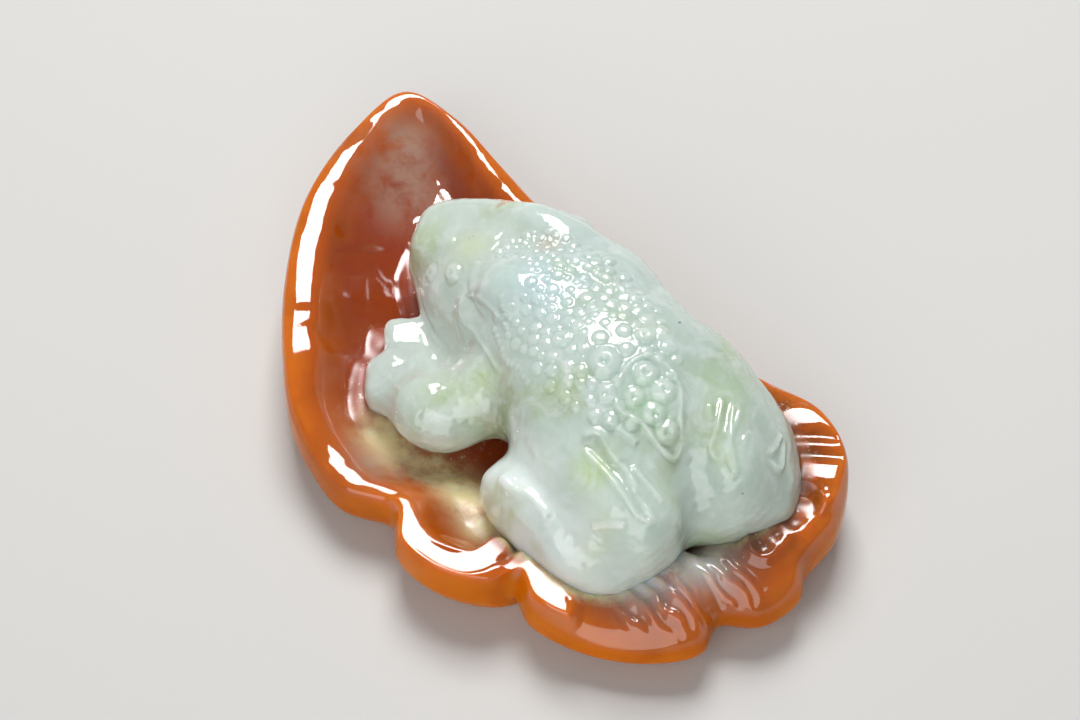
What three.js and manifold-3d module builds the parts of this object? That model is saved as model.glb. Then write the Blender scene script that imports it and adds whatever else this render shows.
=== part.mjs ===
// A small jade carving: a toad resting in the hollow of a thick, curled leaf. Units are millimetres. +Z
// is up and z = 0 is the flat the carving rests on. +Y runs towards the leaf's tip, the way the toad
// faces, and +X towards the toad's right. The origin is under the middle of the carving.
import * as THREE from "three";
import { mergeVertices } from "three/addons/utils/BufferGeometryUtils.js";
import Module from "manifold-3d";

const wasm = await Module();
wasm.setup();

// ---- driving dimensions -------------------------------------------------------------------------------
const CUT_GAP = 0.3; // the fine line that a carver's cut leaves between two masses
const FLOOR_Z = 2.0; // the leaf's hollow, above the resting face
const TIP_FROM = 6.0; // the hollow gets shallower from this y towards the tip
const TIP_RISE = 0.15; // by this much a millimetre
const BULGE_SHARE = 0.45; // the leaf is widest at this share of its rim's height
const LEAF_STATIONS = 96; // points around the leaf
const WELD = 1e-4; // points nearer each other than this are one point
// The leaf's midrib, which its sections face.
const SPINE = [new THREE.Vector2(4.6, 16), new THREE.Vector2(1.5, -15)];
const HEAD_AT = [3.1, 5.8]; // the middle of the head, on the ground plan
const HEAD_TURN = THREE.MathUtils.degToRad(28); // the head looks this far to the toad's left
// How many facets an ellipsoid has round and down, by its largest radius.
const SEGMENTS = [
  { over: 5, counts: [18, 11] },
  { over: 2.5, counts: [12, 8] },
  { over: 0, counts: [9, 6] },
];

// The leaf's widest line, anticlockwise from the tip: x, y, the height of the rim there, and how far its
// wall slopes in, from 0 where it stands up to 1 where it is a long slope. Each dip is a notch between
// two lobes of the edge.
const LEAF_EDGE = [
  [6.9, 28.4, 6.9, 0],
  [1, 26.8, 7.35, 0],
  [-5.7, 22.7, 7.5, 0],
  [-11.2, 16.3, 7.4, 0],
  [-14.9, 9.9, 7, 0],
  [-16.3, 6.4, 6, 0],
  [-16.8, 2.6, 5.2, 0],
  [-16.5, -1.4, 5, 0.1],
  [-14.1, -4.9, 5.2, 0.1],
  [-15.2, -8, 5.7, 0],
  [-14.2, -11.6, 5.8, 0],
  [-11.6, -14.4, 5.6, 0],
  [-9.5, -14.9, 4.8, 0],
  [-9.7, -17.8, 5.2, 0.2],
  [-7.4, -22, 5, 0.8],
  [-3.9, -25.2, 5.6, 1],
  [-0.3, -26.6, 6.2, 1],
  [2.1, -25.3, 5.8, 1],
  [5, -27, 5.6, 0.9],
  [8.2, -26.8, 5.9, 0.8],
  [9.7, -25.5, 6.2, 0.6],
  [13.6, -24, 6.8, 0.4],
  [17, -20.3, 7.2, 0],
  [17.8, -15.9, 7.2, 0],
  [16.4, -11.2, 6, 0],
  [14.5, -5.8, 5.3, 0],
  [12.7, 0.5, 5.6, 0],
  [11.6, 7, 6, 0],
  [10.6, 13, 6.4, 0.3],
  [9.8, 18, 6.9, 0.1],
  [8.9, 23.4, 7.3, 0],
];

// The leaf's section from the resting face, out round the wall, over the rim and down to the hollow: how
// far in from the widest line, and the height as a share of the rim's and a share of the floor's. One is
// for where the wall stands up, and one for where it slopes.
const RIM_SECTION = [
  [4.4, 0, 0],
  [2.6, 0, 0],
  [1.1, 0.12, 0],
  [0.25, 0.28, 0],
  [0, BULGE_SHARE, 0],
  [0.06, 0.76, 0],
  [0.4, 0.96, 0],
  [1.6, 1, 0],
  [3.0, 0.94, 0.03],
  [4.6, 0.7, 0.25],
  [7.0, 0.38, 0.6],
  [11.0, 0.13, 0.87],
];
const SLOPED_SECTION = [
  [4.4, 0, 0],
  [2.6, 0, 0],
  [1.1, 0.12, 0],
  [0.25, 0.28, 0],
  [0, BULGE_SHARE, 0],
  [0.3, 0.62, 0],
  [1.1, 0.78, 0],
  [2.6, 0.9, 0],
  [4.6, 0.965, 0],
  [7.0, 1, 0],
  [9.5, 0.88, 0.12],
  [13.0, 0.45, 0.55],
];

// ---- solids -------------------------------------------------------------------------------------------
function solidOf(geometry) {
  const bare = geometry.clone();
  bare.deleteAttribute("normal");
  bare.deleteAttribute("uv");
  const merged = mergeVertices(bare, WELD);
  return new wasm.Manifold(
    new wasm.Mesh({
      numProp: 3,
      vertProperties: new Float32Array(merged.attributes.position.array),
      triVerts: new Uint32Array(merged.index.array),
    }),
  );
}

function geometryOf(solid) {
  const { numProp, numVert, vertProperties, triVerts } = solid.getMesh();
  const position = new Float32Array(numVert * 3);
  for (let i = 0; i < numVert; i++) {
    const from = i * numProp;
    position.set(vertProperties.subarray(from, from + 3), i * 3);
  }
  const geometry = new THREE.BufferGeometry();
  geometry.setAttribute("position", new THREE.BufferAttribute(position, 3));
  geometry.setIndex(new THREE.BufferAttribute(triVerts, 1));
  geometry.computeVertexNormals();
  return geometry;
}

// An ellipsoid whose radii are [across, along, up], turned by yaw about its own centre. A squareness of 1
// is round, and a smaller one has fuller corners.
function ellipsoid({ at, radii, yaw = 0, squareness = 1 }, grow = 0) {
  const segments = SEGMENTS.find(({ over }) => Math.max(...radii) > over).counts;
  const geometry = new THREE.SphereGeometry(1, ...segments);
  geometry.rotateX(Math.PI / 2);
  const { array } = geometry.attributes.position;
  array.forEach((value, i) => (array[i] = Math.sign(value) * Math.abs(value) ** squareness));
  geometry.scale(...radii.map((r) => r + grow));
  geometry.rotateZ(yaw);
  geometry.translate(...at);
  return solidOf(geometry);
}

// One carved mass: several ellipsoids that run into each other.
function mass(lobes, grow = 0) {
  return lobes.map((lobe) => ellipsoid(lobe, grow)).reduce((whole, lobe) => whole.add(lobe));
}

// The same lobes, given about the head's own middle and turned with it.
function onHead(lobes) {
  const [cos, sin] = [Math.cos(HEAD_TURN), Math.sin(HEAD_TURN)];
  return lobes.map(({ at: [x, y, z], yaw = 0, ...rest }) => ({
    at: [HEAD_AT[0] + x * cos - y * sin, HEAD_AT[1] + x * sin + y * cos, z],
    yaw: yaw + HEAD_TURN,
    ...rest,
  }));
}

// ---- the leaf -----------------------------------------------------------------------------------------
function nearestOnSpine(point) {
  const run = SPINE[1].clone().sub(SPINE[0]);
  const share = point.clone().sub(SPINE[0]).dot(run) / run.lengthSq();
  return SPINE[0].clone().add(run.multiplyScalar(THREE.MathUtils.clamp(share, 0, 1)));
}

// Points around the leaf on a closed curve through the given ones.
function curveThrough(points) {
  const vectors = points.map((p) => new THREE.Vector3(...p));
  const curve = new THREE.CatmullRomCurve3(vectors, true, "centripetal");
  return Array.from({ length: LEAF_STATIONS }, (_, i) => curve.getPoint(i / LEAF_STATIONS));
}

function hollowHeight(y) {
  return FLOOR_Z + TIP_RISE * Math.log1p(Math.exp(y - TIP_FROM));
}

// Rings of points from the underside's middle, round the wall and rim, to the hollow's middle.
function leafRings() {
  const edge = curveThrough(LEAF_EDGE.map(([x, y, rim]) => [x, y, rim]));
  const slope = curveThrough(LEAF_EDGE.map(([x, y, , sloped]) => [x, y, sloped]));
  return RIM_SECTION.map((upright, ring) =>
    edge.map(({ x, y, z: rim }, station) => {
      const { z: sloped } = slope[station];
      const [inset, ofRim, ofFloor] = upright.map((v, i) => v + (SLOPED_SECTION[ring][i] - v) * sloped);
      const outer = new THREE.Vector2(x, y);
      const inward = nearestOnSpine(outer).sub(outer);
      const reach = inward.length();
      const step = reach * (1 - Math.exp(-inset / reach));
      outer.add(inward.multiplyScalar(step / reach));
      return [outer.x, outer.y, rim * ofRim + hollowHeight(outer.y) * ofFloor];
    }),
  );
}

function leafSolid() {
  const rings = leafRings();
  const middle = [(SPINE[0].x + SPINE[1].x) / 2, (SPINE[0].y + SPINE[1].y) / 2];
  const points = [...rings.flat(), [...middle, 0], [...middle, hollowHeight(middle[1])]];
  const [under, over] = [points.length - 2, points.length - 1];
  const faces = [];
  const next = (i) => (i + 1) % LEAF_STATIONS;
  for (let i = 0; i < LEAF_STATIONS; i++) {
    faces.push(under, next(i), i);
    for (let ring = 0; ring < rings.length - 1; ring++) {
      const [low, high] = [ring * LEAF_STATIONS, (ring + 1) * LEAF_STATIONS];
      faces.push(low + i, low + next(i), high + next(i), low + i, high + next(i), high + i);
    }
    const last = (rings.length - 1) * LEAF_STATIONS;
    faces.push(last + i, last + next(i), over);
  }
  const geometry = new THREE.BufferGeometry();
  geometry.setAttribute("position", new THREE.Float32BufferAttribute(points.flat(), 3));
  geometry.setIndex(faces);
  return solidOf(geometry);
}

// ---- the toad -----------------------------------------------------------------------------------------
// The large warts on the back: x, y and z of the middle, and radius.
const WARTS = [
  [2.6, -8.4, 14.9, 0.9],
  [6.4, -8.0, 14.9, 0.8],
  [4.7, -10.7, 14.8, 0.9],
  [5.2, -12.4, 14.2, 0.9],
  [3.7, -13.5, 13.7, 0.9],
  [3.9, -14.9, 12.9, 0.9],
  [1.3, -4.6, 14.1, 0.8],
];

const TOAD = {
  torso: [
    { at: [4.4, 0.0, 7.9], radii: [7.1, 6.5, 6.5] },
    { at: [4.4, -7.4, 8.2], radii: [8.3, 10.1, 7.2] },
    { at: [4.4, -14.8, 6.1], radii: [3.7, 4.7, 4.1] },
    ...WARTS.map(([x, y, z, radius]) => ({ at: [x, y, z], radii: [radius, radius, radius] })),
  ],
  head: onHead([
    { at: [0.5, -0.9, 7.5], radii: [6.1, 7.4, 5.3], squareness: 0.9 },
    { at: [2.1, 4.5, 6.7], radii: [3.6, 5.0, 4.0], yaw: 0.25, squareness: 0.67 },
    { at: [3.6, 2.8, 8.0], radii: [3.0, 5.0, 3.3], yaw: 0.35 },
    { at: [-4.2, -1.6, 6.7], radii: [3.1, 4.5, 3.5], yaw: -0.2 },
    { at: [-2.6, 3.4, 5.7], radii: [2.7, 5.3, 3.5], yaw: -0.7 },
  ]),
  brow_left: onHead([{ at: [-2.8, -2.2, 11.8], radii: [2.6, 3.0, 2.6] }]),
  brow_right: onHead([{ at: [3.7, -1.8, 11.1], radii: [2.3, 4.7, 2.7] }]),
  eye_left: onHead([{ at: [-4.8, -0.8, 9.5], radii: [1.8, 3.0, 2.2], yaw: -0.5 }]),
  eye_right: onHead([{ at: [5.9, -1.6, 9.3], radii: [1.5, 2.6, 1.9], yaw: 0.4 }]),
  foreleg_left: [
    { at: [-3.4, -1.0, 6.3], radii: [3.1, 3.1, 3.3] },
    { at: [-6.8, 0.2, 5.7], radii: [3.2, 3.9, 3.0], yaw: 0.5 },
    { at: [-4.2, 3.2, 4.3], radii: [2.9, 3.5, 2.3] },
  ],
  hand_left: [
    { at: [-7.6, 3.7, 5.0], radii: [2.7, 2.7, 2.2] },
    { at: [-5.7, 7.0, 4.9], radii: [1.7, 2.4, 1.7], yaw: -0.56, squareness: 0.5 },
    { at: [-8.8, 5.0, 4.7], radii: [1.3, 1.9, 1.6], yaw: -0.56, squareness: 0.5 },
  ],
  foreleg_right: [
    { at: [9.2, -0.9, 8.6], radii: [3.1, 4.9, 4.8] },
    { at: [9.6, 3.0, 6.1], radii: [2.3, 3.3, 2.7] },
  ],
  hand_right: [{ at: [8.4, 7.4, 5.3], radii: [1.7, 2.7, 1.7] }],
  thigh_left: [
    { at: [-1.0, -11.6, 7.3], radii: [4.6, 5.3, 5.1] },
    { at: [-0.4, -15.6, 7.3], radii: [4.6, 5.1, 5.0] },
    { at: [-0.7, -15.4, 8.4], radii: [2.9, 5.7, 4.3], yaw: 0.1, squareness: 0.67 },
  ],
  foot_left: [
    { at: [-5.2, -10.8, 5.2], radii: [2.9, 4.3, 3.1], yaw: 0.2 },
    { at: [-4.0, -15.2, 5.3], radii: [3.4, 5.1, 3.3], yaw: 0.3 },
    { at: [-5.8, -12.0, 5.9], radii: [1.4, 4.9, 3.0], yaw: 0.18, squareness: 0.67 },
  ],
  thigh_right: [
    { at: [9.6, -12.4, 7.7], radii: [4.3, 6.7, 5.2], yaw: -0.4 },
    { at: [8.8, -16.0, 7.0], radii: [4.4, 6.3, 5.5], yaw: -0.5 },
    { at: [8.0, -16.6, 8.7], radii: [2.0, 4.5, 4.0], yaw: -0.35, squareness: 0.67 },
  ],
  foot_right: [{ at: [11.5, -16.4, 6.1], radii: [2.7, 5.9, 3.5], yaw: -0.35 }],
};

// Each mass is cut back from the ones listed before it, which stand proud of it.
const CARVING_ORDER = [
  "eye_left",
  "eye_right",
  "brow_left",
  "brow_right",
  "hand_left",
  "foreleg_left",
  "hand_right",
  "foreleg_right",
  "thigh_left",
  "foot_left",
  "thigh_right",
  "foot_right",
  "head",
  "torso",
];

function largestBody(solid) {
  return solid.decompose().reduce((most, body) => (body.volume() > most.volume() ? body : most));
}

function toadSolids(leaf) {
  const clearOfLeaf = leaf.translate(0, 0, CUT_GAP);
  const done = {};
  CARVING_ORDER.forEach((name, index) => {
    let solid = mass(TOAD[name]).subtract(clearOfLeaf);
    for (const proud of CARVING_ORDER.slice(0, index)) solid = solid.subtract(mass(TOAD[proud], CUT_GAP));
    done[name] = largestBody(solid);
  });
  return done;
}

// ---- materials and the scene graph --------------------------------------------------------------------
const AMBER_JADE = { color: 0xb4560f, roughness: 0.1, metalness: 0 };
const PALE_JADE = { color: 0xbcd0bd, roughness: 0.12, metalness: 0 };

const leaf = leafSolid();
const { min: low, max: high } = leaf.boundingBox();
const TO_CENTRE = [-(low[0] + high[0]) / 2, -(low[1] + high[1]) / 2, -low[2]];

function node(name, solid, finish) {
  const geometry = geometryOf(solid.translate(...TO_CENTRE));
  const mesh = new THREE.Mesh(geometry, new THREE.MeshStandardMaterial(finish));
  mesh.name = name;
  return mesh;
}

const figurine = new THREE.Group();
figurine.add(node("leaf", leaf, AMBER_JADE));
const toad = new THREE.Group();
for (const [name, solid] of Object.entries(toadSolids(leaf))) toad.add(node(name, solid, PALE_JADE));
figurine.add(toad);

export default figurine;
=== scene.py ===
import math
import random

import bpy
import numpy as np
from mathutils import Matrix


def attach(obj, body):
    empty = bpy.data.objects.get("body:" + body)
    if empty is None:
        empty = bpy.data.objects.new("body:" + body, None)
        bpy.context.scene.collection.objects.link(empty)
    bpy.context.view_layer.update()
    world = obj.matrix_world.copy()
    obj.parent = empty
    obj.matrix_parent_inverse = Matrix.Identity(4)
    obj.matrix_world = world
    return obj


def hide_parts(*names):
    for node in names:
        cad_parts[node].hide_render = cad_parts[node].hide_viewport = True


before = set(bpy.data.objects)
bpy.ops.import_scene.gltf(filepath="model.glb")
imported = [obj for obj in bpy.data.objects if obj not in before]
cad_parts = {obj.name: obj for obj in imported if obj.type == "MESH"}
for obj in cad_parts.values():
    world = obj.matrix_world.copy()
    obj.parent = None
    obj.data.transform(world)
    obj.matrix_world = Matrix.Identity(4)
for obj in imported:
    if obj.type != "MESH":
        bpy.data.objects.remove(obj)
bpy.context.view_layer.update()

import openvdb
from mathutils import Vector

MM = 0.001

# ---- small tools ---------------------------------------------------------------------------------------


def spans_through(points, per_span, closed=False):
    """A centripetal Catmull-Rom curve through points, as the same number of points on each span."""
    points = np.array(points, float)
    if closed:
        ends = points[-1:], points, points[:2]
    else:
        ends = 2 * points[:1] - points[1:2], points, 2 * points[-1:] - points[-2:-1]
    held = np.concatenate(ends)
    share = np.linspace(0, 1, per_span, endpoint=False)[:, None]
    spans = []
    for a, b, c, d in zip(held, held[1:], held[2:], held[3:]):
        gaps = [np.linalg.norm(b - a), np.linalg.norm(c - b), np.linalg.norm(d - c)]
        before, span, after = (max(gap, 1e-9) ** 0.5 for gap in gaps)
        leave = ((b - a) / before - (c - a) / (before + span) + (c - b) / span) * span
        arrive = ((c - b) / span - (d - b) / (span + after) + (d - c) / after) * span
        cube = 2 * b - 2 * c + leave + arrive
        square = -3 * b + 3 * c - 2 * leave - arrive
        spans.append(b + leave * share + square * share**2 + cube * share**3)
    return np.concatenate([*spans, held[-2:-1]])


def curve_through(points, count, closed=False):
    """The same curve, as count points spaced evenly along it."""
    dense = spans_through(points, 40, closed)
    run = np.concatenate([[0], np.cumsum(np.linalg.norm(np.diff(dense, axis=0), axis=1))])
    stops = np.linspace(0, run[-1], count, endpoint=not closed)
    return np.stack([np.interp(stops, run, dense[:, i]) for i in range(dense.shape[1])], 1)


def ripple(points, wavelength, seed, waves=9):
    """Smooth unevenness between about -1 and 1, with the given wavelength in millimetres."""
    picked = random.Random(seed)
    total = np.zeros(len(points))
    for _ in range(waves):
        heading = np.array([picked.gauss(0, 1) for _ in range(3)])
        heading *= 2 * math.pi / wavelength * picked.uniform(0.6, 1.5) / np.linalg.norm(heading)
        total += np.sin(points @ heading + picked.uniform(0, 2 * math.pi))
    return total / waves**0.5


def ease(low, high, value):
    """0 below low, 1 above high, and a smooth step between."""
    share = np.clip((value - low) / (high - low), 0, 1)
    return share * share * (3 - 2 * share)


def smooth_least(first, second, blend):
    """The lesser of two distances, with the corner between them rounded over by blend."""
    share = np.clip(0.5 + 0.5 * (second - first) / blend, 0, 1)
    return second + (first - second) * share - blend * share * (1 - share)


def new_piece(name, points, faces, material):
    """A smooth mesh in metres, which rides on the carving."""
    mesh = bpy.data.meshes.new(name)
    mesh.from_pydata((points * MM).tolist(), [], faces)
    mesh.validate()
    mesh.shade_smooth()
    mesh.materials.append(material)
    piece = bpy.data.objects.new(name, mesh)
    bpy.context.collection.objects.link(piece)
    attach(piece, "root")
    return piece


def mark_points(piece, name, values):
    """Gives each point of a piece a number, or a colour, that its material reads by name."""
    values = np.asarray(values, np.float32)
    if values.ndim == 1:
        piece.data.attributes.new(name, "FLOAT", "POINT").data.foreach_set("value", values)
        return
    opaque = np.column_stack([values, np.ones(len(values), np.float32)])
    piece.data.attributes.new(name, "FLOAT_COLOR", "POINT").data.foreach_set("color", opaque.ravel())


# ---- the leaf's shape ----------------------------------------------------------------------------------
# The leaf's widest line, anticlockwise from the tip: x, y, the height of the rim there, how far its wall
# slopes in, from 0 where it stands up to 1 where it is a long slope, and how broad the rim's top is. Each
# dip is a notch between two lobes.
LEAF_EDGE = [
    [6.9, 28.4, 6.9, 0, 0.5], [1.0, 26.8, 7.35, 0, 0.7], [-5.7, 22.7, 7.5, 0, 1.1],
    [-11.2, 16.3, 7.4, 0, 1.4], [-14.9, 9.9, 7.0, 0, 1.2], [-16.3, 6.4, 6.0, 0, 0.7],
    [-16.8, 2.6, 5.2, 0, 0.6], [-16.5, -1.4, 5.0, 0.1, 0.6], [-14.1, -4.9, 5.2, 0.1, 0.5],
    [-15.2, -8.0, 5.7, 0, 0.6], [-14.2, -11.6, 5.8, 0, 1.2], [-11.6, -14.4, 5.6, 0, 1.2],
    [-9.5, -14.9, 4.8, 0, 0.6], [-9.7, -17.8, 5.2, 0.2, 1.0], [-7.4, -22.0, 5.0, 0.8, 1],
    [-3.9, -25.2, 5.6, 1, 1], [-0.3, -26.6, 6.2, 1, 1], [2.1, -25.3, 5.8, 1, 0.7],
    [5.0, -27.0, 5.6, 0.9, 1], [8.2, -26.8, 5.9, 0.8, 1], [9.7, -25.5, 6.2, 0.6, 0.8],
    [13.6, -24.0, 6.8, 0.4, 1], [17.0, -20.3, 7.2, 0, 1.2], [17.8, -15.9, 7.2, 0, 1.6],
    [16.4, -11.2, 6.0, 0, 0.8], [14.5, -5.8, 5.3, 0, 0.6], [12.7, 0.5, 5.6, 0, 0.6],
    [11.6, 7.0, 6.0, 0, 0.6], [10.6, 13.0, 6.4, 0.3, 0.6], [9.8, 18.0, 6.9, 0.1, 0.6],
    [8.9, 23.4, 7.3, 0, 0.6],
]
FLOOR_Z = 2.0
# The hollow gets shallower from here towards the tip, by this much a millimetre.
TIP_FROM, TIP_RISE = 6.0, 0.15
# The leaf's section, where its wall stands up and where it slopes: how far in from the widest line, and
# its height as a share of the rim's and a share of the floor's.
RIM_SECTION = [
    [4.6, 0, 0], [3.4, 0, 0], [2.3, 0.03, 0], [1.2, 0.12, 0], [0.4, 0.26, 0], [0, 0.45, 0],
    [0.02, 0.68, 0], [0.12, 0.85, 0], [0.34, 0.95, 0], [0.75, 0.988, 0], [1.6, 1, 0], [2.5, 0.99, 0],
    [3.3, 0.92, 0.05], [4.6, 0.7, 0.25], [6.1, 0.48, 0.5], [8, 0.3, 0.7], [10.5, 0.15, 0.85],
    [13.5, 0.06, 0.94], [17, 0.02, 0.98],
]
SLOPED_SECTION = [
    [4.6, 0, 0], [3.4, 0, 0], [2.3, 0.03, 0], [1.2, 0.12, 0], [0.4, 0.26, 0], [0, 0.42, 0],
    [0.1, 0.53, 0], [0.38, 0.64, 0], [0.9, 0.75, 0], [1.7, 0.84, 0], [2.6, 0.9, 0], [3.6, 0.94, 0],
    [4.6, 0.965, 0], [5.8, 0.985, 0], [7, 1, 0], [8.5, 0.98, 0.02], [10.5, 0.8, 0.2], [13.5, 0.4, 0.6],
    [17, 0.1, 0.9],
]
WIDEST_ROW = 5  # the row of both sections where the leaf is widest
RIM_TOP = 1.6  # how far in the middle of the rim's top is
SPINE = np.array([[4.6, 16.0], [1.5, -15.0]])  # the leaf's midrib, which its sections face
STATIONS = 800
RINGS_PER_SPAN = 6
# Small chips and waves in the rim's inner edge, and pits in the crumpled part of it: x, y, reach, and
# depth, which is below 0 where the stone stands out instead.
CHIPS = [
    [-4.4, 18.6, 0.7, 0.16], [-5.4, 18.0, 0.8, -0.1], [-10.9, 10.6, 0.8, 0.25],
    [-11.6, 9.2, 0.9, -0.12], [9.5, -21.2, 0.5, 0.2], [8.7, -22.8, 0.5, 0.2], [7.2, -23.3, 0.85, 0.3],
    [10.4, -22.6, 0.8, 0.3], [9.3, -23.9, 0.5, 0.2], [12.3, -21.0, 0.8, 0.3], [13.3, -21.6, 0.5, 0.22],
    [14.2, -22.1, 0.45, 0.2],
]
# Parts of the leaf's upper side which are polished level: a line along the middle, half its width, and
# its height.
LEVELS = [
    (
        [[-13.6, -5.6], [-14.1, -7.4], [-14.0, -9.6], [-12.9, -11.6], [-11.2, -12.6], [-9.2, -12.4]],
        0.95,
        5.55,
    ),
    ([[-8.0, -15.2], [-8.4, -18.6]], 1.7, 5.5),
    ([[15.2, -16.0], [15.0, -19.0], [13.2, -21.4]], 1.5, 7.15),
    ([[11.4, -21.8], [7.4, -22.8]], 1.3, 6.3),
]
# Folds on the leaf's upper side: the line each follows, its width, and its height, which is below 0 where
# it is a crease.
FOLDS = [
    ([[-4.6, -17.9], [-5.4, -18.6], [-6.4, -19.4]], 0.75, 0.3),
    ([[-4.7, -18.0], [-5.4, -18.6], [-6.3, -19.3]], 0.3, -0.16),
    ([[14.5, -16.8], [15.8, -17.6], [17.0, -18.5]], 0.6, -0.3),
    ([[13.9, -18.4], [15.2, -19.3], [16.4, -20.2]], 0.6, -0.3),
]
# Where fine ribs run out towards the leaf's edge: a line along the middle of them, half its width, the
# space between ribs, and their height.
RIBBED_LINE = [[-2.6, -21.6], [-0.9, -23.5], [1.6, -24.4], [3.6, -24.4]]
RIBBED_WIDTH, RIB_SPACING, RIB_HEIGHT = 2.0, 1.08, 0.12
RIB_UNEVENNESS = 0.05
# The skin of the stone is never quite even: broad and fine unevenness, each as a height and a wavelength.
LEAF_BROAD, LEAF_FINE = (0.07, 7), (0.025, 2.4)
TOAD_BROAD, TOAD_FINE = (0.05, 3.2), (0.012, 1.1)
# Pale clouds in the stone: x, y, and reach.
CLOUDS = [[2.2, 20.5, 3.4], [4.6, 24.0, 2.2], [-12.6, -0.5, 2.0]]
# Where the stone is paler along the hollow's lower side.
PALE_LINE = [[-10.7, 2.1], [-9.7, -0.4], [-8.7, -3.2], [-8.0, -7.0], [-8.1, -9.2]]
PALE_WIDTH = 2.0
# The stone rises round the toad as a low bed: how much, and from how far away.
BED_RISE, BED_REACH = 0.9, 1.8
BED_FADE = (5.0, 3.4)  # the heights between which it fades out, up the wall
# Where the stone is grey behind the toad, and where it is dark: a line along the middle, and half the
# width.
GREY_LINE = [[-1.6, -20.6], [0.9, -21.0], [3.4, -21.6]]
DARK_LINE = [[13.8, -13.4], [13.6, -17.6], [11.4, -20.6], [7.2, -21.6]]
GREY_WIDTH = DARK_WIDTH = 2.2


def bump(distance, width):
    """1 at no distance, and falling smoothly to nothing past twice the width."""
    return np.exp(-((distance / width) ** 2))


def unevenness(points, scale, seed):
    """Smooth unevenness, in millimetres, with the height and wavelength that scale gives."""
    height, wavelength = scale
    return height * ripple(points, wavelength, seed)


def from_line(spots, line, count=40):
    """How far each spot is from a smooth line, and how far along the line it is, from 0 to 1."""
    stops = curve_through(line, count)
    nearest, share = np.full(len(spots), np.inf), np.zeros(len(spots))
    for index, (start, end) in enumerate(zip(stops, stops[1:])):
        run = end - start
        along = np.clip((spots - start) @ run / (run @ run), 0, 1)
        distance = np.linalg.norm(spots - start - along[:, None] * run, axis=1)
        closer = distance < nearest
        nearest[closer] = distance[closer]
        share[closer] = (index + along[closer]) / (count - 1)
    return nearest, share


def hollow_height(y):
    """The height of the hollow's floor, which rises towards the tip."""
    return FLOOR_Z + TIP_RISE * np.logaddexp(0, y - TIP_FROM)


def leaf_relief(points, spread):
    """How far the leaf's upper side stands above its plain section.

    spread is 0 on the wall and 1 inside the rim."""
    plan = points[:, :2]
    rise = unevenness(points, LEAF_BROAD, 11) + unevenness(points, LEAF_FINE, 12)
    for line, width, height in LEVELS:
        level = ease(1.5 * width, 0.8 * width, from_line(plan, line)[0])
        rise += level * (height - points[:, 2] - rise)
    for x, y, reach, depth in CHIPS:
        rise -= depth * bump(np.hypot(plan[:, 0] - x, plan[:, 1] - y), reach)
    for line, width, height in FOLDS:
        rise += height * bump(from_line(plan, line)[0], width)
    ribbed = ease(1.4 * RIBBED_WIDTH, 0.5 * RIBBED_WIDTH, from_line(plan, RIBBED_LINE)[0])
    across = plan[:, 0] + 0.16 * plan[:, 1] + 0.2 * ripple(points, 3, 13)
    ribs = RIB_HEIGHT * np.cos(2 * math.pi / RIB_SPACING * across)
    rise += ribbed * (ribs + RIB_UNEVENNESS * ripple(points, 1.3, 14))
    return rise * spread


def leaf_shape():
    """The leaf's points, its faces, and how far in over the rim each point is, below 0 outside it."""
    edge = curve_through(LEAF_EDGE, STATIONS, closed=True)
    outline, rim, sloped, breadth = edge[:, :2], edge[:, 2], edge[:, 3], edge[:, 4]
    run = SPINE[1] - SPINE[0]
    share = np.clip((outline - SPINE[0]) @ run / (run @ run), 0, 1)
    inward = SPINE[0] + share[:, None] * run - outline
    reach = np.linalg.norm(inward, axis=1)
    rings, over = [], []
    sections = [spans_through(section, RINGS_PER_SPAN) for section in (RIM_SECTION, SLOPED_SECTION)]
    widest = WIDEST_ROW * RINGS_PER_SPAN
    for index, (upright, slope) in enumerate(zip(*sections)):
        inset, of_rim, of_floor = upright[:, None] + (slope - upright)[:, None] * sloped
        if index > widest:
            inset = inset + (breadth - 1) * (1 - sloped) * RIM_TOP * ease(0.2, 2.6, upright[0])
        step = reach * (1 - np.exp(-inset / reach))
        plan = outline + inward * (step / reach)[:, None]
        rings.append(np.column_stack([plan, rim * of_rim + hollow_height(plan[:, 1]) * of_floor]))
        over.append(inset if index > widest else -inset)
    points, over = np.concatenate(rings), np.concatenate(over)
    points[:, 2] += leaf_relief(points, ease(0.15, 0.9, over))
    middle = SPINE.mean(0)
    points = np.vstack([points, [*middle, 0], [*middle, hollow_height(middle[1])]])
    over = np.append(over, [over.min(), over.max()])
    station = np.arange(STATIONS)
    following = (station + 1) % STATIONS
    faces = []
    for ring in range(len(rings) - 1):
        low, high = ring * STATIONS, (ring + 1) * STATIONS
        faces += np.stack([low + station, low + following, high + following, high + station], 1).tolist()
    last = (len(rings) - 1) * STATIONS
    faces += [[len(points) - 2, int(b), int(a)] for a, b in zip(station, following)]
    faces += [[int(last + a), int(last + b), len(points) - 1] for a, b in zip(station, following)]
    return points, faces, over


# ---- the toad's shape ----------------------------------------------------------------------------------
HEAD_AT = (3.1, 5.8)
HEAD_TURN = math.radians(28)


def on_head(*lobes):
    """The same lobes, given about the head's own middle and turned with it."""
    cos, sin = math.cos(HEAD_TURN), math.sin(HEAD_TURN)
    turned = []
    for (x, y, z), radii, *rest in lobes:
        yaw, power = (*rest, *(0, 2)[len(rest):])
        at = (HEAD_AT[0] + x * cos - y * sin, HEAD_AT[1] + x * sin + y * cos, z)
        turned.append((at, radii, yaw + HEAD_TURN, power))
    return turned


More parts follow.
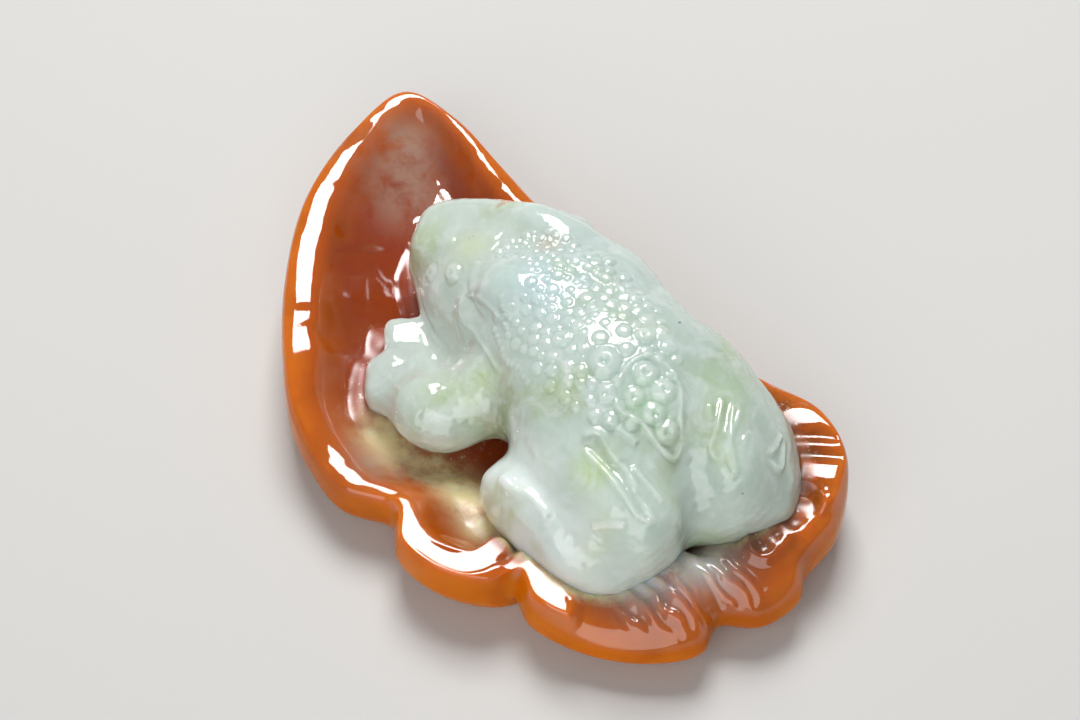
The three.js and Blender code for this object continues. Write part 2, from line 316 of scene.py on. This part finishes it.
# Each mass of the toad is a few rounded lobes: middle, radii, yaw, and a power of 2 if round or more if
# squarer.
TOAD = {
    "torso": [
        ((4.4, 0.0, 7.8), (7.0, 6.4, 6.4)),
        ((4.4, -7.4, 8.1), (8.2, 10.0, 7.1)),
        ((4.4, -14.8, 6.0), (3.6, 4.6, 4.0)),
    ],
    "head": on_head(
        ((0.5, -0.9, 7.4), (6.0, 7.3, 5.2), 0, 2.2),
        ((2.1, 4.5, 6.6), (3.5, 4.9, 3.9), 0.25, 3),
        ((3.6, 2.8, 7.9), (2.9, 4.9, 3.2), 0.35),
        ((-4.1, -1.6, 6.6), (3.0, 4.4, 3.4), -0.2),
        ((-2.6, 3.4, 5.6), (2.6, 5.2, 3.4), -0.7),
    ),
    "brow_left": on_head(((-2.8, -2.2, 11.7), (2.5, 2.9, 2.5))),
    "brow_right": on_head(((3.7, -1.8, 11.0), (2.2, 4.6, 2.6))),
    "eye_left": on_head(((-4.8, -0.8, 9.4), (1.7, 2.9, 2.1), -0.5)),
    "eye_right": on_head(((5.9, -1.6, 9.2), (1.3, 2.4, 1.7), 0.4)),
    "foreleg_left": [
        ((-3.4, -1.0, 6.2), (3.0, 3.0, 3.2)),
        ((-6.8, 0.2, 5.6), (3.1, 3.8, 2.9), 0.5),
        ((-4.2, 3.2, 4.2), (2.8, 3.4, 2.2)),
    ],
    "hand_left": [
        ((-7.6, 3.7, 4.9), (2.6, 2.6, 2.1)),
        ((-5.7, 7.0, 4.8), (1.6, 2.3, 1.6), -0.56, 4),
        ((-8.8, 5.0, 4.6), (1.2, 1.8, 1.5), -0.56, 4),
    ],
    "foreleg_right": [((9.2, -0.9, 8.5), (3.0, 4.8, 4.7)), ((9.6, 3.0, 6.0), (2.2, 3.2, 2.6))],
    "hand_right": [((8.4, 7.4, 5.2), (1.6, 2.6, 1.6))],
    "thigh_left": [
        ((-1.0, -11.6, 7.2), (4.5, 5.2, 5.0)),
        ((-0.4, -15.6, 7.2), (4.5, 5.0, 4.9)),
        ((-0.7, -15.4, 8.3), (2.8, 5.6, 4.2), 0.1, 3),
    ],
    "foot_left": [
        ((-5.2, -10.8, 5.1), (2.8, 4.2, 3.0), 0.2),
        ((-4.0, -15.2, 5.2), (3.3, 5.0, 3.2), 0.3),
        ((-5.8, -12.0, 5.8), (1.3, 4.8, 2.9), 0.18, 3),
    ],
    "thigh_right": [
        ((9.6, -12.4, 7.6), (4.2, 6.6, 5.1), -0.4),
        ((8.8, -16.0, 6.9), (4.3, 6.2, 5.4), -0.5),
        ((8.0, -16.6, 8.6), (1.9, 4.4, 3.9), -0.35, 3),
    ],
    "foot_right": [((11.5, -16.4, 6.0), (2.6, 5.8, 3.4), -0.35)],
}
# The stone's colour at each mass, which runs from one into the next.
TINTS = {
    "torso": (0.52, 0.67, 0.65), "head": (0.57, 0.64, 0.56), "brow_left": (0.52, 0.64, 0.61),
    "brow_right": (0.66, 0.75, 0.75), "eye_left": (0.54, 0.61, 0.50), "eye_right": (0.62, 0.71, 0.67),
    "foreleg_left": (0.53, 0.58, 0.46), "hand_left": (0.53, 0.56, 0.56),
    "foreleg_right": (0.64, 0.74, 0.73), "hand_right": (0.60, 0.64, 0.59),
    "thigh_left": (0.58, 0.69, 0.58), "foot_left": (0.82, 0.87, 0.86),
    "thigh_right": (0.47, 0.59, 0.49), "foot_right": (0.38, 0.44, 0.32),
}
# Patches of another colour in it: x, y, reach, and colour.
PATCHES = [
    # The dark green patch at -4.2, -4.8, behind the left elbow, is painted shade in the crevice, over the
    # stone's own green.
    (-4.3, -2.0, 1.6, (0.45, 0.58, 0.22)), (-4.2, -4.8, 1.5, (0.25, 0.32, 0.12)),
    (-2.2, -14.2, 1.4, (0.50, 0.65, 0.26)), (-4.4, -17.6, 1.2, (0.54, 0.64, 0.30)),
    (1.2, 8.2, 1.6, (0.60, 0.66, 0.46)), (5.6, 4.2, 0.9, (0.58, 0.52, 0.42)),
    (3.5, -13.0, 2.0, (0.48, 0.66, 0.46)), (9.0, -13.0, 2.2, (0.46, 0.60, 0.40)),
    (3.4, 0.4, 2.6, (0.58, 0.72, 0.76)), (-6.4, -11.4, 2.6, (0.92, 0.97, 0.97)),
    (-5.0, -17.0, 2.0, (0.84, 0.90, 0.88)),
]
PATCH_STRENGTH = 0.75
TINT_BLEND = 1.6  # how softly the colours run into each other, in millimetres
# How softly each mass runs into the ones before it, in millimetres.
BLENDS = {"brow_left": 1.2, "brow_right": 1.4, "eye_left": 0.5, "eye_right": 1.2, "hand_left": 1.0}
BLEND = 2.0
LOBE_BLEND = 1.4
FAR = 3.0
# Each piece carries on past its seam, just under the next, this deep and this far.
TUCK, TUCK_REACH = 0.03, 0.35
VOXEL = 0.22


def lobe_distance(points, at, radii, yaw=0.0, power=2.0):
    """About how far each point is from one rounded lobe: below zero inside it."""
    local = points - np.array(at)
    cos, sin = math.cos(yaw), math.sin(yaw)
    across = local[:, 0] * cos + local[:, 1] * sin
    along = local[:, 1] * cos - local[:, 0] * sin
    turned = np.stack([across, along, local[:, 2]], 1)
    radii = np.array(radii)
    reach = np.maximum(np.abs(turned) / radii, 1e-3)
    if power == 2:
        size = np.sqrt((reach**2).sum(1))
        slope = np.sqrt(((reach / radii) ** 2).sum(1)) / size
    else:
        size = (reach**power).sum(1) ** (1 / power)
        slope = np.sqrt(((reach ** (power - 1) / radii) ** 2).sum(1)) * size ** (1 - power)
    return (size - 1) / slope


def mass_distance(name, points):
    """How far each point is from one mass, or FAR where it isn't near."""
    total = np.full(len(points), FAR)
    for lobe in TOAD[name]:
        at, radii, *_ = lobe
        near = np.abs(points - at).max(1) < max(radii) + FAR
        total[near] = smooth_least(total[near], lobe_distance(points[near], *lobe), LOBE_BLEND)
    return total


def toad_distances(points):
    """How far each point is from each mass, one row a mass, and from the whole toad."""
    apart = np.stack([mass_distance(name, points) for name in TOAD])
    whole = apart[0]
    for name, row in zip(TOAD, apart):
        if row is not apart[0]:
            whole = smooth_least(whole, row, BLENDS.get(name, BLEND))
    return apart, whole


def lead_of(name, apart):
    """How much nearer a mass is than any other: above 0 on its own part of the skin."""
    index = list(TOAD).index(name)
    return np.delete(apart, index, 0).min(0) - apart[index]


def piece_distance(name, apart, whole):
    """How far from one mass's piece: the whole toad where the mass leads, and tucked under it beside."""
    behind = -lead_of(name, apart)
    return whole + TUCK * ease(0, TUCK_REACH, behind) + np.maximum(behind - TUCK_REACH, 0)


def gradient(field, points, step=0.02):
    """How steeply a field rises at each point, from four samples around it."""
    corners = np.array([[1, -1, -1], [-1, -1, 1], [-1, 1, -1], [1, 1, 1]])
    return sum(corner * field(points + corner * step)[:, None] for corner in corners) / (4 * step)


def settle(field, points, rounds):
    """Moves points onto the surface where field is zero."""
    for _ in range(rounds):
        slope = gradient(field, points)
        points = points - slope * (field(points) / np.maximum((slope**2).sum(1), 0.05))[:, None]
    return points


# The largest warts and the nostrils, each with a dimple: x, y, and radius.
WARTS = [
    [2.6, -8.4, 1.3], [4.7, -10.7, 1.0], [5.2, -12.4, 0.95], [3.0, -11.8, 0.8], [3.7, -13.5, 0.9],
    [3.9, -14.9, 0.95], [1.4, -10.4, 0.8], [1.3, -4.6, 0.8], [6.4, -8.0, 0.8], [-1.7, 9.4, 0.75],
    [-1.0, 7.4, 0.85],
]
# Small beads in a row behind the left eye.
BEAD_ROW = [[-1.5, 0.4], [-1.8, -1.0], [-2.1, -2.4], [-2.0, -3.8], [-2.2, -5.4]]
# Raised lines on the skin: the line each follows, its width, and its height.
RAISED_LINES = [
    (
        [[-1.9, -12.2], [-0.9, -12.1], [-0.4, -12.6], [-0.5, -14.2], [-0.2, -15.8], [-0.5, -18.0]],
        0.26,
        0.26,
    ),
    (
        [[-0.5, -18.0], [-0.6, -19.8], [-1.3, -19.1], [-1.4, -17.4], [-1.5, -15.1], [-1.9, -12.2]],
        0.26,
        0.28,
    ),
    ([[-1.6, -12.0], [-0.7, -12.3], [-0.5, -13.6], [-0.3, -15.2]], 0.45, 0.24),
    ([[0.3, -15.6], [0.6, -17.3], [0.9, -19.2]], 0.22, 0.22),
    ([[0.4, -11.9], [1.0, -13.2], [1.7, -14.6]], 0.24, 0.24),
    ([[-4.0, -17.1], [-3.1, -18.1], [-2.2, -19.2]], 0.3, 0.32),
    ([[8.0, -14.4], [7.3, -15.6]], 0.2, 0.12),
    ([[9.3, -14.2], [7.3, -16.3], [6.3, -17.1], [6.0, -18.1]], 0.2, 0.18),
    ([[9.8, -14.9], [9.6, -15.8], [7.8, -17.5], [6.6, -20.0]], 0.2, 0.2),
    ([[6.6, -20.0], [6.8, -18.6], [7.9, -17.1], [9.8, -14.9]], 0.2, 0.2),
    ([[9.6, -17.4], [8.7, -17.9], [8.5, -18.4]], 0.2, 0.12),
    (
        [[9.8, -19.1], [10.9, -18.7], [12.3, -17.8], [11.5, -19.1], [10.5, -20.0], [9.8, -19.3]],
        0.25,
        0.26,
    ),
    ([[-1.2, 5.1], [-2.0, 4.6], [-2.4, 3.3], [-2.3, 2.2], [-2.5, 0.1], [-2.8, -2.5]], 0.2, 0.12),
    ([[-1.2, 5.1], [-1.0, 3.4], [-0.85, 1.4], [-0.8, -0.6]], 0.18, 0.1),
    ([[1.0, 6.5], [-0.3, 5.5], [-0.9, 4.4]], 0.45, 0.22),
    ([[0.1, 2.0], [-0.2, 0.9], [-0.3, -0.3]], 0.35, 0.14),
    ([[-0.5, 11.0], [0.2, 10.4], [0.9, 9.9]], 0.4, 0.14),
    (
        [[2.1, -10.6], [3.6, -9.7], [5.5, -9.5], [6.4, -10.6], [6.5, -12.4], [5.6, -14.0], [4.7, -15.8]],
        0.19,
        0.18,
    ),
    ([[4.7, -15.8], [3.6, -16.4], [3.1, -15.7], [2.5, -13.4], [1.6, -11.9], [2.1, -10.6]], 0.19, 0.22),
    ([[6.0, 2.2], [6.8, -0.2], [7.5, -2.5], [7.8, -5.0]], 0.45, 0.2),
    ([[-6.8, -8.8], [-6.6, -10.6], [-6.0, -12.0], [-5.9, -14.6]], 0.5, 0.4),
]
# The edge round each eye, and the line of the mouth.
EYELID_HEIGHT, EYELID_WIDTH = 0.05, 0.16
MOUTH_Z, MOUTH_DEPTH, MOUTH_WIDTH = 6.8, 0.12, 0.2
BACK_AT, BACK_REACH = (3.6, -3.8), (5.4, 10.4)  # the oval of the back that carries the warts
BROW_AT, BROW_REACH = (0.7, 3.4), 2.5  # and the smooth round of the left brow, which has none
WART_TRIES = 9000
WART_SPACING = 0.88  # how close two warts may be, as a share of where they would just touch
BEADS, BEAD_RADIUS = 11, 0.34
# A wart's height and the groove round its foot, and a dimple's ring and its pit, as shares of the wart's
# radius.
WART_HEIGHT, WART_GROOVE = 0.26, 0.05
DIMPLE_RING, DIMPLE_PIT = 0.07, 0.2
ABOVE_TOAD = 17.0  # the height that marks are dropped onto the toad from
DROP_STEPS, DROP_RATE = 40, 0.8
LINE_POINTS, LINE_REACH = 24, 7
LATTICE_LOW, LATTICE_HIGH = (-12.5, -22.5, 1.0), (17.0, 16.5, 16.5)


def drop_on_toad(plan):
    """The points of the toad's upper surface over these places on the plan."""
    points = np.column_stack([plan, np.full(len(plan), ABOVE_TOAD)])
    for _ in range(DROP_STEPS):
        points[:, 2] -= DROP_RATE * toad_distances(points)[1]
    return points


def scatter_warts():
    """All the warts: small between the eyes, larger towards the rump, and closely set."""
    picked = random.Random(8)
    warts = [wart + [1] for wart in WARTS]
    for x, y in curve_through(BEAD_ROW, BEADS):
        warts.append([x, y, BEAD_RADIUS, 0])
    for _ in range(WART_TRIES):
        x, y = picked.uniform(-3, 9.5), picked.uniform(-14, 7)
        radius = picked.uniform(0.7, 1.3) * (0.3 + 0.018 * (7 - y))
        on_back = math.hypot((x - BACK_AT[0]) / BACK_REACH[0], (y - BACK_AT[1]) / BACK_REACH[1]) < 1
        if not on_back or math.hypot(x - BROW_AT[0], y - BROW_AT[1]) < BROW_REACH:
            continue
        if all(math.hypot(x - a, y - b) > WART_SPACING * (radius + r) for a, b, r, _ in warts):
            warts.append([x, y, radius, 0])
    return warts


def carve_details():
    """The warts and raised lines, each dropped onto the toad."""
    warts = np.array(scatter_warts())
    lines = []
    for line, width, height in RAISED_LINES:
        lines.append((drop_on_toad(curve_through(line, LINE_POINTS)), width, height))
    return list(zip(drop_on_toad(warts[:, :2]), warts[:, 2], warts[:, 3])), lines


def toad_relief(spots, apart, details):
    """How far the finished skin stands above the plain masses at each spot."""
    rise = unevenness(spots, TOAD_BROAD, 21) + unevenness(spots, TOAD_FINE, 22)
    warts, lines = details
    for middle, radius, dimpled in warts:
        near = np.abs(spots - middle).max(1) < 1.8 * radius
        reach = np.linalg.norm(spots[near] - middle, axis=1) / radius
        rise[near] += WART_HEIGHT * radius * np.clip(1 - reach**3, 0, 1)
        rise[near] -= WART_GROOVE * radius * bump(reach - 1.1, 0.15)
        dimple = DIMPLE_RING * bump(reach - 0.42, 0.14) - DIMPLE_PIT * bump(reach, 0.27)
        rise[near] += dimpled * radius * dimple
    for path, width, height in lines:
        near = np.abs(spots - path.mean(0)).max(1) < LINE_REACH
        distance, share = from_line(spots[near], path, LINE_POINTS)
        fade = ease(0, 0.12, share) * ease(1, 0.88, share)
        rise[near] += fade * height * bump(distance, width)
    for name in ("eye_left", "eye_right"):
        rise += EYELID_HEIGHT * bump(lead_of(name, apart), EYELID_WIDTH)
    mouth = MOUTH_DEPTH * bump(spots[:, 2] - MOUTH_Z, MOUTH_WIDTH)
    rise -= mouth * ease(0.2, 0.8, lead_of("head", apart))
    return rise


def toad_lattice():
    """The low corner, the counts and the points of a lattice round the whole toad."""
    low, high = np.array(LATTICE_LOW), np.array(LATTICE_HIGH)
    counts = np.ceil((high - low) / VOXEL).astype(int)
    axes = [low[i] + VOXEL * np.arange(counts[i]) for i in range(3)]
    points = np.stack(np.meshgrid(*axes, indexing="ij"), -1).reshape(-1, 3)
    return low, counts, points


def finer(points, quads):
    """The same surface with each face in four, and its points evened out."""
    mesh = bpy.data.meshes.new("coarse")
    mesh.from_pydata(points.tolist(), [], quads.tolist())
    holder = bpy.data.objects.new("coarse", mesh)
    bpy.context.collection.objects.link(holder)
    division = holder.modifiers.new("division", "SUBSURF")
    division.levels = 1
    evaluated = holder.evaluated_get(bpy.context.evaluated_depsgraph_get())
    made = evaluated.to_mesh()
    fine = np.empty(len(made.vertices) * 3, np.float32)
    made.vertices.foreach_get("co", fine)
    corners = np.empty(len(made.polygons) * 4, np.int32)
    made.polygons.foreach_get("vertices", corners)
    evaluated.to_mesh_clear()
    bpy.data.objects.remove(holder)
    bpy.data.meshes.remove(mesh)
    return fine.reshape(-1, 3).astype(float), corners.reshape(-1, 4)


# ---- materials -----------------------------------------------------------------------------------------
STONE_IOR = 1.66
WAX_SHINE, WALL_SHINE = 0.6, 0.06
RAW_ROUGHNESS = 0.38  # added where the hollow beside the toad is left unpolished


class Nodes:
    """A short way to write a material's nodes."""

    def __init__(self, name):
        self.material = bpy.data.materials.new(name)
        self.material.use_nodes = True
        self.tree = self.material.node_tree
        self.shader = self.tree.nodes["Principled BSDF"]

    def add(self, kind, values=(), **settings):
        node = self.tree.nodes.new(kind)
        for key, value in settings.items():
            setattr(node, key, value)
        for key, value in dict(values).items():
            self.set(node, key, value)
        return node

    def set(self, node, key, value):
        if hasattr(value, "links"):
            self.tree.links.new(value, node.inputs[key])
        else:
            node.inputs[key].default_value = value

    def mark(self, name, output="Fac"):
        return self.add("ShaderNodeAttribute", attribute_name=name).outputs[output]

    def place(self):
        return self.add("ShaderNodeTexCoord").outputs["Object"]

    def noise(self, size_mm, detail=3.0, rough=0.5, distortion=0.0):
        values = {"Vector": self.place(), "Scale": 1 / (size_mm * MM), "Detail": detail}
        values |= {"Roughness": rough, "Distortion": distortion}
        return self.add("ShaderNodeTexNoise", values).outputs["Fac"]

    def span(self, value, low, high):
        """0 where value is under low, 1 where it is over high."""
        values = {"Value": value, "From Min": low, "From Max": high}
        node = self.add("ShaderNodeMapRange", values, interpolation_type="SMOOTHSTEP")
        return node.outputs["Result"]

    def math(self, operation, first, second):
        return self.add("ShaderNodeMath", {0: first, 1: second}, operation=operation).outputs[0]

    def share(self, first, second):
        return self.math("MULTIPLY", first, second)

    def polish(self, rough_low, rough_high, shine=WAX_SHINE, raw=0.0):
        """A waxed stone surface: strong highlights, with faint wear and a skin that isn't quite even."""
        self.set(self.shader, "IOR", STONE_IOR)
        self.set(self.shader, "Specular IOR Level", shine)
        worn = self.span(self.noise(1.6, 5, 0.6), 0.4, 0.8)
        spread = rough_high - rough_low
        polished = self.math("ADD", self.share(worn, spread), rough_low)
        self.set(self.shader, "Roughness", self.math("ADD", polished, raw))
        skin = {"Height": self.noise(0.5, 3, 0.5), "Strength": 0.35, "Distance": 0.01 * MM}
        self.set(self.shader, "Normal", self.add("ShaderNodeBump", skin).outputs["Normal"])

    def mix(self, share, first, second):
        node = self.add("ShaderNodeMix", data_type="RGBA")
        self.set(node, 0, share)
        self.set(node, 6, first)
        self.set(node, 7, second)
        return node.outputs[2]


def pale_jade():
    n = Nodes("pale_jade")
    colour = n.mark("tint", "Color")
    moss = (0.40, 0.50, 0.20, 1)
    milk = (0.74, 0.81, 0.79, 1)
    ink = (0.05, 0.09, 0.06, 1)
    colour = n.mix(n.share(n.span(n.noise(7, 3, 0.5), 0.5, 0.72), 0.5), colour, moss)
    colour = n.mix(n.share(n.span(n.noise(3.4, 6, 0.62, 0.8), 0.5, 0.7), 0.55), colour, milk)
    colour = n.mix(n.share(n.span(n.noise(0.7, 4, 0.6), 0.45, 0.75), 0.2), colour, milk)
    colour = n.mix(n.span(n.noise(1.1, 2, 0.4), 0.79, 0.81), colour, ink)
    n.set(n.shader, "Base Color", colour)
    n.set(n.shader, "Subsurface Weight", 1.0)
    n.set(n.shader, "Subsurface Radius", (0.9, 1.1, 0.9))
    n.set(n.shader, "Subsurface Scale", n.math("MULTIPLY", n.mark("depth"), 2.6 * MM))
    n.polish(rough_low=0.05, rough_high=0.16)
    return n.material


def amber_jade():
    n = Nodes("amber_jade")
    over = n.mark("over")
    honey = (0.64, 0.165, 0.004, 1)
    rust = (0.50, 0.10, 0.002, 1)
    hollow_shade_wine = (0.32, 0.036, 0.001, 1)
    umber = (0.34, 0.066, 0.002, 1)
    coffee = (0.13, 0.04, 0.004, 1)
    cloud = (0.42, 0.25, 0.18, 1)
    olive = (0.80, 0.70, 0.40, 1)
    smoke = (0.58, 0.57, 0.53, 1)
    uneven = n.math("MULTIPLY", n.math("SUBTRACT", n.noise(6, 4, 0.6, 0.5), 0.5), 3.4)
    inward = n.math("ADD", over, uneven)
    # Painted shade: the colour darkens from honey through rust to wine deeper in over the rim, into the
    # concave hollow.
    colour = n.mix(n.span(inward, 0.4, 3.2), honey, rust)
    colour = n.mix(n.span(inward, 2.8, 7.5), colour, hollow_shade_wine)
    colour = n.mix(n.share(n.span(n.noise(7, 3, 0.5), 0.42, 0.68), 0.5), colour, umber)
    colour = n.mix(n.share(n.span(n.noise(2.5, 6, 0.65), 0.2, 0.62), n.mark("cloudy")), colour, cloud)
    colour = n.mix(n.share(n.span(n.noise(2.2, 5, 0.6), 0.2, 0.6), n.mark("olive")), colour, olive)
    colour = n.mix(n.share(n.span(n.noise(2.6, 5, 0.6), 0.1, 0.5), n.mark("smoky")), colour, smoke)
    colour = n.mix(n.share(n.span(n.noise(1.8, 5, 0.6), 0.25, 0.6), n.mark("dark")), colour, coffee)
    flecks = n.share(n.span(n.noise(0.35, 2, 0.5), 0.66, 0.72), n.mark("flecks"))
    colour = n.mix(flecks, colour, (0.72, 0.62, 0.52, 1))
    n.set(n.shader, "Base Color", colour)
    n.set(n.shader, "Subsurface Weight", 1.0)
    n.set(n.shader, "Subsurface Radius", (1.0, 0.4, 0.12))
    n.set(n.shader, "Subsurface Scale", 1.6 * MM)
    above = n.span(over, 0.1, 0.5)
    shine = n.math("ADD", n.share(above, WAX_SHINE - WALL_SHINE), WALL_SHINE)
    n.polish(rough_low=0.03, rough_high=0.1, shine=shine, raw=n.share(n.mark("raw"), RAW_ROUGHNESS))
    return n.material


# ---- making the pieces ---------------------------------------------------------------------------------


def make_leaf(material, points, faces, over):
    """The leaf, with its bed raised to meet the toad, and the stretches of colour marked on it."""
    apart, _ = toad_distances(points)
    inside = ease(0, 2, over)
    names = list(TOAD)
    left = [apart[names.index(name)] for name in ("foreleg_left", "foot_left")]
    beside = ease(1.2, 0.2, np.min(left, 0))
    rear = ease(1.0, 0.2, apart[names.index("thigh_right")])
    cloudy = sum(bump(np.hypot(points[:, 0] - x, points[:, 1] - y), reach) for x, y, reach in CLOUDS)
    behind = ease(-15, -19, points[:, 1])
    near = apart.min(0)
    bed = BED_RISE * inside * ease(BED_REACH, 0, near) * ease(*BED_FADE, points[:, 2])
    raised = points + [0, 0, 1] * bed[:, None]
    leaf = new_piece("leaf_carved", raised + TO_CENTRE, faces, material)
    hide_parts("leaf")
    plan = points[:, :2]
    pale = bump(from_line(plan, PALE_LINE)[0], PALE_WIDTH)
    grey = bump(from_line(plan, GREY_LINE)[0], GREY_WIDTH)
    dark = bump(from_line(plan, DARK_LINE)[0], DARK_WIDTH)
    mark_points(leaf, "over", over)
    mark_points(leaf, "cloudy", cloudy)
    mark_points(leaf, "olive", inside * np.max([beside, pale, rear * behind], 0))
    mark_points(leaf, "dark", inside * dark)
    mark_points(leaf, "smoky", inside * grey)
    mark_points(leaf, "raw", ease(1.5, 4, over) * np.maximum(pale, ease(2.0, 0.8, near)))
    mark_points(leaf, "flecks", inside * ease(2.2, 0.2, near))


def make_toad_piece(name, material, low, field, details):
    """One mass of the toad: a surface from the lattice, settled, carved and coloured."""
    grid = openvdb.FloatGrid(FAR)
    grid.copyFromArray(field)
    points, quads = grid.convertToQuads()
    points, quads = finer(points * VOXEL + low, quads)
    points = settle(lambda spots: piece_distance(name, *toad_distances(spots)), points, 2)
    apart, _ = toad_distances(points)
    lead = lead_of(name, apart)
    outward = gradient(lambda spots: toad_distances(spots)[1], points)
    outward /= np.linalg.norm(outward, axis=1)[:, None]
    points += outward * (toad_relief(points, apart, details) * ease(-0.9, -0.45, lead))[:, None]
    weights = np.exp(-(apart - apart.min(0)) / TINT_BLEND)
    tint = (weights.T @ np.array(list(TINTS.values()))) / weights.sum(0)[:, None]
    # Blends in the patches, one of which is painted shade in the crevice behind the left elbow.
    for x, y, reach, colour in PATCHES:
        share = PATCH_STRENGTH * bump(np.hypot(points[:, 0] - x, points[:, 1] - y), reach)
        tint += (np.array(colour) - tint) * share[:, None]
    faces = quads[:, ::-1].tolist()
    piece = new_piece(name + "_carved", points + TO_CENTRE, faces, material)
    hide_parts(name)
    mark_points(piece, "depth", ease(0.0, 2.6, lead))
    mark_points(piece, "tint", tint)


def make_toad(material):
    low, counts, lattice = toad_lattice()
    apart, whole = toad_distances(lattice)
    details = carve_details()
    for name in TOAD:
        field = piece_distance(name, apart, whole).reshape(counts).astype(np.float32)
        make_toad_piece(name, material, low, field, details)


# ---- the stage -----------------------------------------------------------------------------------------
LOOK_AT = Vector((3.96, 2.70, 0.0)) * MM
VIEW_AZIMUTH = math.radians(-32)
VIEW_ELEVATION = math.radians(55)
VIEW_DISTANCE = 238 * MM


def direction(azimuth, elevation):
    """The way from the carving to something at this azimuth, where 0 is in front at -Y, and elevation."""
    flat = math.cos(elevation)
    return Vector((math.sin(azimuth) * flat, -math.cos(azimuth) * flat, math.sin(elevation)))


def make_camera():
    data = bpy.data.cameras.new("camera")
    data.lens = 100
    data.sensor_width = 36
    data.clip_start = 0.01
    camera = bpy.data.objects.new("camera", data)
    back = direction(VIEW_AZIMUTH, VIEW_ELEVATION)
    camera.location = LOOK_AT + back * VIEW_DISTANCE
    camera.rotation_euler = (-back).to_track_quat("-Z", "Y").to_euler()
    bpy.context.collection.objects.link(camera)
    bpy.context.scene.camera = camera


def make_softbox(name, azimuth, elevation, distance, side, watts):
    """A square area light that faces the carving; distance and side are in metres."""
    data = bpy.data.lights.new(name, "AREA")
    data.shape = "RECTANGLE"
    data.size = side
    data.size_y = side
    data.energy = watts
    lamp = bpy.data.objects.new(name, data)
    way = direction(math.radians(azimuth), math.radians(elevation))
    lamp.location = LOOK_AT + way * distance
    lamp.rotation_euler = way.to_track_quat("Z", "Y").to_euler()
    bpy.context.collection.objects.link(lamp)


def make_floor():
    half = 2.0
    below = 0.02 * MM  # so that the floor and the carving's flat never share a plane
    mesh = bpy.data.meshes.new("floor")
    corners = [(-half, -half, 0), (half, -half, 0), (half, half, 0), (-half, half, 0)]
    mesh.from_pydata(corners, [], [(0, 1, 2, 3)])
    floor = bpy.data.objects.new("floor", mesh)
    floor.location.z = -below
    bpy.context.collection.objects.link(floor)
    n = Nodes("floor")
    n.set(n.shader, "Base Color", (0.60, 0.59, 0.57, 1))
    n.set(n.shader, "Roughness", 0.6)
    mesh.materials.append(n.material)


def make_sky():
    world = bpy.data.worlds.new("studio")
    world.use_nodes = True
    background = world.node_tree.nodes["Background"]
    background.inputs["Color"].default_value = (0.95, 0.97, 1.0, 1)
    background.inputs["Strength"].default_value = 0.20
    bpy.context.scene.world = world


make_camera()
make_floor()
make_sky()
make_softbox("key_softbox", 148, 55, 0.6, 0.28, 3.3)
make_softbox("fill_softbox", -50, 32, 0.8, 0.9, 4.2)
bpy.context.scene.view_settings.view_transform = "Standard"
leaf_points, leaf_faces, leaf_over = leaf_shape()
TO_CENTRE = -(leaf_points.min(0) + leaf_points.max(0)) / 2
TO_CENTRE[2] = -leaf_points[:, 2].min()
make_leaf(amber_jade(), leaf_points, leaf_faces, leaf_over)
make_toad(pale_jade())
